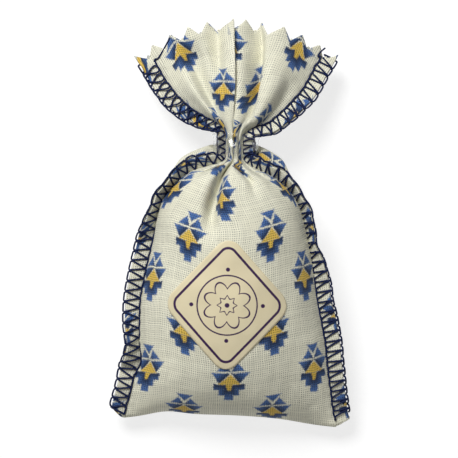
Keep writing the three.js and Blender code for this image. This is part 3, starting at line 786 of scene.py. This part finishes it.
def white_floor():
    finish = Finish("White floor")
    speck = finish.noise(finish.place_on_piece(), 40.0, 2.0)
    paper = finish.mix(speck, (0.90, 0.90, 0.90), (0.92, 0.92, 0.92))
    tree = finish.tree
    path = tree.nodes.new("ShaderNodeLightPath")
    seen = Value(tree, path.outputs["Is Camera Ray"]).most(
        Value(tree, path.outputs["Is Glossy Ray"]), Value(tree, path.outputs["Is Transmission Ray"]))
    finish.link(finish.mix(seen, paper, (0.34, 0.34, 0.34)), "Base Color")
    finish.set(Roughness=0.9, Specular_IOR_Level=0.0, Emission_Color=(1.0, 1.0, 1.0))
    finish.link(seen * 0.74, "Emission Strength")
    return finish.material


# Pieces

# Grid of the cloth: steps across a ply and an allowance, and rows from the base fold to each mouth.
PLY_STEPS = 134
FLANGE_STEPS = 10
ROWS = 150
BACK_TEETH = 0.45  # teeth that the back's pinked edge is shifted by


def section_samples(count):
    """Section coordinates at even steps from the base fold to the mouth."""
    return [LAST * k / count for k in range(count + 1)]


def bag_rows():
    """Section coordinates of evenly spaced rows from the base fold to the mouth."""
    samples = section_samples(1200)
    sections = [Section(t) for t in samples]
    seams = sample_lengths([Flange.seam(-1, section) for section in sections])
    crowns = sample_lengths([ply_point(1, 0.5, section, 0) for section in sections])
    both = [0.5 * (a + b) for a, b in zip(seams, crowns)]
    return [look_up(both[-1] * k / ROWS, both, samples) for k in range(ROWS + 1)]


def cloth_lift(cloth, t):
    """Middle of a ply off the middle of the seam."""
    return (cloth.thickness + cloth.ply_gap) / 2 / MM * min(t / 0.25, 1)


def cloth_places(cloth, rows):
    """Flat place of each grid column, and the point of every grid place of the cloth strip, row by row from
    the back's mouth to the front's."""
    allowance = cloth.allowance / MM
    half = CLOTH_WIDTH / 2
    columns = [-half - allowance + allowance * k / FLANGE_STEPS for k in range(FLANGE_STEPS)]
    columns += [-half + CLOTH_WIDTH * k / PLY_STEPS for k in range(PLY_STEPS + 1)]
    columns += [half + allowance * (k + 1) / FLANGE_STEPS for k in range(FLANGE_STEPS)]
    pitch = 2 * (half + allowance) / cloth.teeth
    mouth_run = (Flange.seam(1, Section(LAST)) - Flange.seam(1, Section(LAST - 1))).length
    places = []
    for row in range(-ROWS, ROWS + 1):
        face = 1 if row >= 0 else -1
        t_row = rows[abs(row)]
        cut = smoothstep(abs(row) / ROWS, 0.9, 1.0) * cloth.tooth_depth / MM / mouth_run
        short = smoothstep(abs(row) / ROWS, 0.8, 1.0) * cloth.back_short / MM / mouth_run
        sections = {}
        line = []
        for u in columns:
            turn = (u + half + allowance) / pitch + (0.0 if face > 0 else BACK_TEETH)
            notch = 1 - abs(2 * (turn - math.floor(turn)) - 1)
            t = round(t_row - cut * notch - (0.0 if face > 0 else short), 4)
            lift = cloth_lift(cloth, t)
            if abs(u) <= half:
                if t not in sections:
                    sections[t] = Section(t)
                point = ply_point(face, (u + half) / CLOTH_WIDTH, sections[t], lift)
                point.z += face * roughness(point, half - abs(u), t)
            else:
                flange = Flange(-1 if u < 0 else 1, t)
                out = (abs(u) - half) / allowance * flange.width
                point = flange.point(out, face * lift)
            point.z = max(point.z, cloth.thickness / 2 / MM)
            line.append(point)
        places.append(line)
    return columns, places


def roughness(point, from_seam, t):
    """Height of small dents, and of puckers that the stitches draw in beside the seams."""
    loose = smoothstep(from_seam, 0, 9) * smoothstep(t, 0, 1)
    dent = 0.35 * wrinkle(point, 0.11, 3.0) + 0.16 * wrinkle(point, 0.31, 9.0)
    pucker = 0.22 * math.sin(point.y * 2 * math.pi / 3.7) * math.exp(-from_seam / 2.2)
    pucker *= min(from_seam / 0.6, 1)
    return dent * loose * 1.4 + pucker


class SACHET_OT_cloth_bag(bpy.types.Operator):
    """Fold the printed cotton strip into the stuffed bag with its open fan"""
    bl_idname = "sachet.cloth_bag"
    bl_label = "Cloth bag"

    def execute(self, context):
        cloth = context.scene.sachet_cloth
        rows = bag_rows()
        columns, places = cloth_places(cloth, rows)
        across, along = len(columns) - 1, len(places) - 1
        bm = bmesh.new()
        bmesh.ops.create_grid(bm, x_segments=across, y_segments=along, size=1)
        flat = self.flat_map(cloth, rows, columns, places)
        on_map = {}
        for vertex in bm.verts:
            column, row = round((vertex.co.x + 1) / 2 * across), round((vertex.co.y + 1) / 2 * along)
            on_map[vertex.index] = flat[row][column]
            vertex.co = places[row][column] * MM
        lay_map(bm, "Cloth", on_map)
        mesh = mesh_from(bm, "cloth_bag")
        outside = printed_cotton(cloth, "Printed cotton", 1.0)
        inside = printed_cotton(cloth, "Printed cotton inside", 0.3)
        bag = finish_piece("cotton_bag", mesh, ("cloth_bag",), (outside, inside))
        thicken(bag, "Cloth thickness", cloth.thickness, 0).material_offset = 1
        return {"FINISHED"}

    @staticmethod
    def flat_map(cloth, rows, columns, places):
        """Place of each grid point on the flat cloth, as shares of its width and of its map's length."""
        width = CLOTH_WIDTH + 2 * cloth.allowance / MM
        first, last = FLANGE_STEPS, FLANGE_STEPS + PLY_STEPS
        flat = []
        for number, line in enumerate(places):
            t = rows[abs(number - ROWS)]
            wider = smoothstep(t, PLACE["neck bottom"], PLACE["fan"])
            lengths = sample_lengths(line[first:last + 1])
            row = [u - TAKEN_LEFT - RAW_LEFT * wider if u < 0 else u + TAKEN_RIGHT + RAW_RIGHT * wider
                   for u in columns]
            left, right = columns[first] - WIDER_LEFT * wider, columns[last] + WIDER_RIGHT * wider
            if number >= ROWS:
                spare = right - left - lengths[-1]
                lengths = [run + hidden_cloth(k / PLY_STEPS, t, spare) for k, run in enumerate(lengths)]
            for k, run in enumerate(lengths):
                row[first + k] = left + (right - left) * run / lengths[-1]
            flat.append([[u / width + 0.5, 0.5] for u in row])
        for column in range(len(columns)):
            for step in (1, -1):
                run = 0.0
                for row in range(1, ROWS + 1):
                    here, before = ROWS + step * row, ROWS + step * (row - 1)
                    run += (places[here][column] - places[before][column]).length
                    flat[here][column][1] = 0.5 + step * run / (2 * STRIP_HALF)
        for row, line in enumerate(flat):
            t = rows[abs(row - ROWS)]
            even = smoothstep(t, PLACE["bend in"], PLACE["neck bottom"])
            even *= 1 - smoothstep(abs(row - ROWS) / ROWS, 0.87, 0.92)
            for spot, mean in zip(line, running_mean([spot[1] for spot in line], EVEN_REACH)):
                spot[1] += even * (mean - spot[1])
            gathered = smoothstep(t, PLACE["throat"], PLACE["bend out"])
            opened = smoothstep(t, PLACE["neck top"], PLACE["fan"])
            for u, spot in zip(columns, line):
                hidden = NECK_CLOTH * gathered * max(1 - (u / NECK_SPREAD) ** 2, 0) + FAN_CLOTH * opened
                hidden += (SEAM_CLOTH + FAN_CLOTH * opened) * min(abs(u) / SEAM_PLACE, 1) ** 4
                if row < ROWS:
                    hidden = -hidden
                spot[1] += (hidden - PRINT_SHIFT - PRINT_LEAN * u) / (2 * STRIP_HALF)
        return flat


FILLING_CLEARANCE = 1.6  # filling to the inside of the cloth, in millimetres
FILLING_FIRST, FILLING_LAST = 0.8, PLACE["throat"] - 0.5  # sections where it begins and ends
FILLING_SPREAD = 0.44  # how far it goes from the middle of the cloth towards the seams


class SACHET_OT_filling(bpy.types.Operator):
    """Heap dried lavender inside the pouch"""
    bl_idname = "sachet.filling"
    bl_label = "Lavender filling"

    def execute(self, context):
        cloth = context.scene.sachet_cloth
        inset = cloth.thickness / MM + FILLING_CLEARANCE
        bm = bmesh.new()
        bmesh.ops.create_uvsphere(bm, u_segments=72, v_segments=56, radius=1)
        for vertex in bm.verts:
            share = 1 - math.acos(max(min(vertex.co.z, 1), -1)) / math.pi
            section = Section(FILLING_FIRST + (FILLING_LAST - FILLING_FIRST) * share)
            turn = math.atan2(vertex.co.y, vertex.co.x)
            face = 1 if turn >= 0 else -1
            s = 0.5 - FILLING_SPREAD * math.cos(turn)
            middle = Vector((section.shift, section.y, section.seam))
            middle.y += section.bow * 0.5
            reach = min(math.sqrt(max(1 - vertex.co.z ** 2, 0)) * 3, 1)
            point = ply_point(face, s, section, 0, inset)
            point.z -= face * min(inset, abs(point.z - section.seam))
            point = middle + (point - middle) * reach
            inward = (middle - point).normalized()
            point += inward * (0.5 + 0.5 * wrinkle(point, 0.7, 5.0) + 0.4 * wrinkle(point, 1.3, 8.0))
            point.z = max(point.z, inset)
            vertex.co = point * MM
        bmesh.ops.recalc_face_normals(bm, faces=bm.faces)
        finish_piece("lavender_heap", mesh_from(bm, "lavender_heap"), ("lavender_filling",),
                     (dried_lavender(),))
        return {"FINISHED"}


NECK_CROWDING = 0.25  # how much more cloth a length of the neck's seams holds
NECK_REACH = 1.5  # sections from the neck's middle over which that fades


class SeamRuler:
    """Distances from the base fold along a flange's cloth, which is crowded in the neck, with whole stitches
    marked from the first, above the base fold, to the last, short of the mouth."""

    def __init__(self, side, start, stop, pitch):
        self.side = side
        self.samples = section_samples(600)
        flanges = [Flange(side, t) for t in self.samples]
        lengths = sample_lengths([flange.point(flange.width / 2, 0) for flange in flanges])
        self.lengths = [0.0]
        neck = (PLACE["neck bottom"] + PLACE["neck top"]) / 2
        for t, before, after in zip(self.samples, lengths, lengths[1:]):
            crowding = 1 + NECK_CROWDING * bump(t, neck, NECK_REACH)
            self.lengths.append(self.lengths[-1] + (after - before) * crowding)
        self.start = start
        self.count = int((self.lengths[-1] - (start + stop)) / pitch)
        self.pitch = (self.lengths[-1] - (start + stop)) / self.count

    def section_at(self, stitch):
        """Section coordinate at a number of stitches from the first."""
        distance = self.start + stitch * self.pitch
        return look_up(min(max(distance, 0), self.lengths[-1]), self.lengths, self.samples)

    def flange(self, stitch):
        return Flange(self.side, self.section_at(stitch))


# One looper stitch as along the seam, in stitches, and out from it, as a share of the flange. On the left
# of the pouch two legs part from each needle hole and meet their neighbours at the raw edge.
ZIGZAG_LEG = ((0.10, 0.22), (0.22, 0.48), (0.34, 0.74), (0.42, 0.93))
ZIGZAG_STITCH = ((0.00, 0.05), *ZIGZAG_LEG, (0.50, 1.04),
                 *((1 - along, out) for along, out in reversed(ZIGZAG_LEG)))
# On the right two legs leave the raw edge together, and the thread runs along the seam between them.
GATE_STITCH = ((0.00, 0.05), (0.12, 0.02), (0.27, 0.02), (0.39, 0.07), (0.52, 0.26), (0.70, 0.53),
               (0.86, 0.79), (0.94, 0.96), (1.00, 1.04), (1.05, 0.97), (1.04, 0.80), (1.01, 0.55),
               (1.00, 0.32), (1.00, 0.14))
# On the left of the fan each stitch is a round arch whose legs cross.
ARCH_LEG = ((-0.18, 1.0), (-0.10, 0.92), (0.00, 0.82), (0.16, 0.66), (0.32, 0.46), (0.40, 0.26), (0.34, 0.10),
            (0.16, 0.02))
ARCH_STITCH = (*ARCH_LEG, *((-along, out) for along, out in reversed(ARCH_LEG)), (0.34, 1.05), (0.66, 1.05))
# The looper on the back: along the raw edge, in to the needle and out again.
BACK_STITCH = ((0.0, 0.98), (0.06, 1.04), (0.3, 1.05), (0.6, 1.05), (0.84, 1.04), (0.88, 0.96), (0.89, 0.6),
               (0.90, 0.2), (0.93, 0.06), (0.96, 0.2), (0.98, 0.6))
BACK_LAG = 0.5  # stitches from a loop on the front to the one on the back
GATE_SLANT = -0.6  # stitches that a gate leans back by at the raw edge, on the fan
# The needle threads' loose ends on the fan, across and along the bag in millimetres.
LEFT_END = ((-25.2, 84.4), (-24.2, 86.0), (-22.9, 88.2), (-21.6, 90.6), (-20.4, 92.6))
RIGHT_END = ((30.6, 85.0), (31.2, 86.3), (32.2, 87.4), (33.4, 88.3))


class SACHET_OT_stitching(bpy.types.Operator):
    """Sew both overlocked edges with their needle and looper threads"""
    bl_idname = "sachet.stitching"
    bl_label = "Overlock stitching"

    def execute(self, context):
        stitching, cloth = context.scene.sachet_stitching, context.scene.sachet_cloth
        material = sewing_thread(stitching)
        surface = bag_surface(context)
        radius = stitching.diameter / 2 / MM
        off_cloth = (cloth.thickness + cloth.ply_gap / 2) / MM + radius
        for side, name, stop in ((-1, "left", stitching.stop_left), (1, "right", stitching.stop_right)):
            ruler = SeamRuler(side, stitching.start / MM, stop / MM, stitching.pitch / MM)
            paths = {
                "needle": self.needle_path(ruler, off_cloth, surface, stitching.diameter),
                "upper_looper": self.looper_path(ruler, off_cloth, radius, 1),
                "lower_looper": self.looper_path(ruler, off_cloth, radius, -1),
            }
            for thread, path in paths.items():
                piece = f"{name}_{thread}"
                mesh = self.tube(piece, path, stitching.diameter / 2)
                finish_piece(piece, mesh, (f"{piece}_thread",), (material,))
        return {"FINISHED"}

    @staticmethod
    def looper_path(ruler, off_cloth, radius, face):
        """Path of the upper looper on the front (1), or of the lower one on the back (-1)."""
        path = []
        for k in range(ruler.count):
            first = k if face > 0 else k + BACK_LAG
            t = ruler.section_at(first)
            if face < 0:
                stitch = BACK_STITCH
            elif ruler.side > 0:
                stitch = GATE_STITCH
            else:
                stitch = ARCH_STITCH if t > PLACE["neck top"] + 0.5 else ZIGZAG_STITCH
            slant = 0.0
            if stitch is GATE_STITCH:
                slant = GATE_SLANT * smoothstep(t, PLACE["bend in"], PLACE["flare"])
            for step, (along, out) in enumerate(stitch):
                flange = ruler.flange(first + along + slant * out)
                over = smoothstep(out, 0.88, 1.04)
                off = off_cloth * (1 - over) + 0.5 * radius * over
                loose = 0.0
                if stitch is ARCH_STITCH:
                    loose = 1.1 * radius * (1 - math.cos(2 * math.pi * step / len(stitch))) * (1 - over)
                wobble = 0.05 * math.sin(12.9 * k + 4.1 * step)
                reach = out * flange.width + (radius + 0.1) * over + wobble
                path.append(flange.point(0.3 + reach * 0.96, face * (off + loose)) * MM)
        return path

    @staticmethod
    def needle_path(ruler, off_cloth, surface, diameter):
        """Path along the seam, four points to a stitch, with a loose end that lies on the fan."""
        path = []
        for k in range(4 * ruler.count + 1):
            turn = k * math.pi / 2
            out, off = 0.35 + 0.1 * math.sin(turn), off_cloth + 0.15 - 0.12 * math.cos(turn)
            path.append(ruler.flange(k / 4).point(out, off) * MM)
        for x, y in LEFT_END if ruler.side < 0 else RIGHT_END:
            top = top_of(surface, x * MM, y * MM)
            height = max(top.z + diameter * 0.55 if top else 0.0, path[-1].z - 0.4 * MM)
            path.append(Vector((x * MM, y * MM, height)))
        return path

    @staticmethod
    def tube(name, path, radius):
        """Mesh of a round thread along a path."""
        curve = bpy.data.curves.new(name, "CURVE")
        curve.dimensions = "3D"
        curve.bevel_depth = radius
        curve.bevel_resolution = 1
        curve.resolution_u = 3
        curve.use_fill_caps = True
        spline = curve.splines.new("NURBS")
        spline.points.add(len(path) - 1)
        for point, place in zip(spline.points, path):
            point.co = (*place, 1)
        spline.order_u = 3
        spline.use_endpoint_u = True
        made = bpy.data.objects.new(name, curve)
        bpy.context.scene.collection.objects.link(made)
        mesh = bpy.data.meshes.new_from_object(made.evaluated_get(bpy.context.evaluated_depsgraph_get()))
        bpy.data.objects.remove(made)
        bpy.data.curves.remove(curve)
        mesh.name = name
        return smoothed(mesh)


# The clear band, in millimetres: its middle across the bag, how far its upper end stays below its solid's,
# where the fan opens over it, how far it widens towards that end, and the length of its ripples.
BAND_MIDDLE, BAND_LOWER, BAND_FLARE, BAND_RIPPLE = 2.1, 0.9, 0.5, 8
BAND_SHORTER = 0.4  # how much shorter it is on its right, as a share
BAND_STEPS, BAND_SIDES = 16, 96


class SACHET_OT_neck_band(bpy.types.Operator):
    """Slip the clear film band over the gathered neck"""
    bl_idname = "sachet.neck_band"
    bl_label = "Neck band"

    def execute(self, context):
        band = context.scene.sachet_band
        low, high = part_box("neck_band")
        high.y -= BAND_LOWER * MM
        centre = Vector((BAND_MIDDLE * MM, (low.y + high.y) / 2, (low.z + high.z) / 2))
        tall = high.y - low.y
        bm = bmesh.new()
        line = [bm.verts.new((1, k / BAND_STEPS - 0.5, 0)) for k in range(BAND_STEPS + 1)]
        edges = [bm.edges.new(pair) for pair in zip(line, line[1:])]
        bmesh.ops.spin(bm, geom=line + edges, cent=(0, 0, 0), axis=(0, 1, 0), angle=2 * math.pi,
                       steps=BAND_SIDES, use_merge=True)
        bmesh.ops.remove_doubles(bm, verts=bm.verts, dist=1e-5)
        bmesh.ops.recalc_face_normals(bm, faces=bm.faces)
        for vertex in bm.verts:
            x, y, z = vertex.co
            turn = math.atan2(z, x)
            rim = BAND_FLARE * smoothstep(y, 0.25, 0.5)
            slack = 0.12 * math.sin(3 * turn + 7 * y) * math.cos(2.6 * y)
            slack += 0.2 * noise.noise(Vector((math.cos(turn) * 2, y * 3, math.sin(turn) * 2)))
            wave = band.ripple * math.cos(2 * math.pi * (y * tall + 1.3 * MM) / (BAND_RIPPLE * MM))
            vertex.co = centre + Vector((
                x * (band.half_width + (slack + rim) * MM),
                y * tall * (1 - BAND_SHORTER * max(x, 0)),
                z * (band.half_depth + wave + (slack + rim) * MM)))
        sleeve = finish_piece("clear_band", mesh_from(bm, "clear_band"), ("neck_band",),
                              (clear_film(band),))
        thicken(sleeve, "Film thickness", band.wall, 1)
        return {"FINISHED"}


LABEL_OFFSET = (0.2, 0.6, 0)  # from the middle of the label's solid, in millimetres
LABEL_TURN = -1.4  # degrees
LABEL_STEPS = 48
LABEL_GAP = 0.12  # label to cloth, in millimetres
# Places round a point of the label at which the cloth's height is felt, in millimetres.
FEELERS = ((0, 0), (2, 0), (-2, 0), (0, 2), (0, -2))


class SACHET_OT_label(bpy.types.Operator):
    """Stick the diamond paper label on the front of the pouch"""
    bl_idname = "sachet.label"
    bl_label = "Paper label"

    def execute(self, context):
        label = context.scene.sachet_label
        low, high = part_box("label")
        centre = (low + high) / 2 + Vector(LABEL_OFFSET) * MM
        surface = bag_surface(context)
        bm = bmesh.new()
        bmesh.ops.create_grid(bm, x_segments=LABEL_STEPS, y_segments=LABEL_STEPS, size=1)
        reach_x, reach_y = sharp_reach(label.width, label.height, label.corner)
        rounding = 2 * label.corner / math.hypot(reach_x, reach_y)
        turned = Matrix.Rotation(math.radians(LABEL_TURN), 2)
        on_map = {}
        for vertex in bm.verts:
            a, b = self.rounded(vertex.co.x, vertex.co.y, rounding)
            flat = Vector(((a - b) / 2 * reach_x, (a + b) / 2 * reach_y))
            on_map[vertex.index] = (flat.x / label.width + 0.5, flat.y / label.height + 0.5)
            spot = turned @ flat
            x, y = centre.x + spot.x, centre.y + spot.y
            heights = []
            for dx, dy in FEELERS:
                top = top_of(surface, x + dx * MM, y + dy * MM)
                if top is None:
                    raise RuntimeError("the label reaches past the cloth")
                heights.append(top.z)
            vertex.co = (x, y, max(heights[0], sum(heights) / len(FEELERS)) + LABEL_GAP * MM)
        lay_map(bm, "Label", on_map)
        for _ in range(6):
            bmesh.ops.smooth_vert(bm, verts=[v for v in bm.verts if not v.is_boundary], factor=0.5,
                                  use_axis_x=False, use_axis_y=False, use_axis_z=True)
        paper = finish_piece("paper_label", mesh_from(bm, "paper_label"), ("label",),
                             (label_paper(label),))
        thicken(paper, "Paper thickness", label.thickness, 1)
        return {"FINISHED"}

    @staticmethod
    def rounded(a, b, corner):
        """Moves a point of the unit square so that the square's corners are round."""
        x, y = (abs(a) - 1 + corner) / corner, (abs(b) - 1 + corner) / corner
        if x <= 0 or y <= 0:
            return a, b
        u, v = x * math.sqrt(1 - y * y / 2), y * math.sqrt(1 - x * x / 2)
        return math.copysign(1 - corner + u * corner, a), math.copysign(1 - corner + v * corner, b)


# Places in metres: the key and fill lamps, with their sizes, what they point at, and the camera without
# its height.
KEY_PLACE, KEY_SIZE = Vector((-0.30, 0.59, 0.79)), 0.45
FILL_PLACE, FILL_SIZE = Vector((0.5, -0.5, 0.6)), 0.8
LAMP_TARGET = Vector((0, 25, 15)) * MM
CAMERA_PLACE = Vector((-0.35, 24.85, 12)) * MM


class SACHET_OT_stage(bpy.types.Operator):
    """Lay the white floor and set the lamps and the overhead camera"""
    bl_idname = "sachet.stage"
    bl_label = "Stage"

    def execute(self, context):
        stage = context.scene.sachet_stage
        scene = context.scene
        scene.view_settings.view_transform = "Standard"
        bm = bmesh.new()
        bmesh.ops.create_grid(bm, x_segments=8, y_segments=8, size=stage.floor / 2)
        mesh = mesh_from(bm, "floor")
        mesh.materials.append(white_floor())
        floor = bpy.data.objects.new("floor", mesh)
        scene.collection.objects.link(floor)
        self.lamp(scene, "key_light", KEY_PLACE, KEY_SIZE, stage.key_power)
        self.lamp(scene, "fill_light", FILL_PLACE, FILL_SIZE, stage.fill_power)
        world = bpy.data.worlds.new("Even light")
        scene.world = world
        world.use_nodes = True
        background = world.node_tree.nodes["Background"]
        background.inputs["Color"].default_value = (1, 1, 1, 1)
        background.inputs["Strength"].default_value = stage.sky
        camera = bpy.data.cameras.new("camera")
        camera.sensor_width = 36
        camera.lens = camera.sensor_width * stage.camera_height / stage.view_width
        camera.clip_end = 10
        shot = bpy.data.objects.new("camera", camera)
        shot.location = CAMERA_PLACE + Vector((0, 0, stage.camera_height))
        scene.collection.objects.link(shot)
        scene.camera = shot
        return {"FINISHED"}

    @staticmethod
    def lamp(scene, name, place, size, power):
        light = bpy.data.lights.new(name, "AREA")
        light.shape = "DISK"
        light.size = size
        light.energy = power
        made = bpy.data.objects.new(name, light)
        made.location = place
        made.rotation_euler = (LAMP_TARGET - place).to_track_quat("-Z", "Y").to_euler()
        scene.collection.objects.link(made)


class SACHET_PT_panel(bpy.types.Panel):
    """Sizes, colours and steps of the sachet"""
    bl_idname = "SACHET_PT_panel"
    bl_label = "Lavender sachet"
    bl_space_type = "VIEW_3D"
    bl_region_type = "UI"
    bl_category = "Sachet"

    def draw(self, context):
        for group in GROUPS:
            box = self.layout.box()
            box.label(text=group)
            settings = getattr(context.scene, group)
            for name in settings.__annotations__:
                box.prop(settings, name)
        for operator in OPERATORS:
            self.layout.operator(operator.bl_idname)


GROUPS = {
    "sachet_cloth": SachetCloth,
    "sachet_stitching": SachetStitching,
    "sachet_band": SachetBand,
    "sachet_label": SachetLabel,
    "sachet_stage": SachetStage,
}
OPERATORS = (SACHET_OT_stage, SACHET_OT_cloth_bag, SACHET_OT_filling, SACHET_OT_stitching,
             SACHET_OT_neck_band, SACHET_OT_label)
CLASSES = (*GROUPS.values(), *OPERATORS, SACHET_PT_panel)


def register():
    for cls in CLASSES:
        bpy.utils.register_class(cls)
    for name, group in GROUPS.items():
        setattr(bpy.types.Scene, name, PointerProperty(type=group))


def unregister():
    for name in GROUPS:
        delattr(bpy.types.Scene, name)
    for cls in reversed(CLASSES):
        bpy.utils.unregister_class(cls)


def main():
    register()
    bpy.ops.sachet.stage()
    bpy.ops.sachet.cloth_bag()
    bpy.ops.sachet.filling()
    bpy.ops.sachet.stitching()
    bpy.ops.sachet.neck_band()
    bpy.ops.sachet.label()


if __name__ == "__main__":
    main()
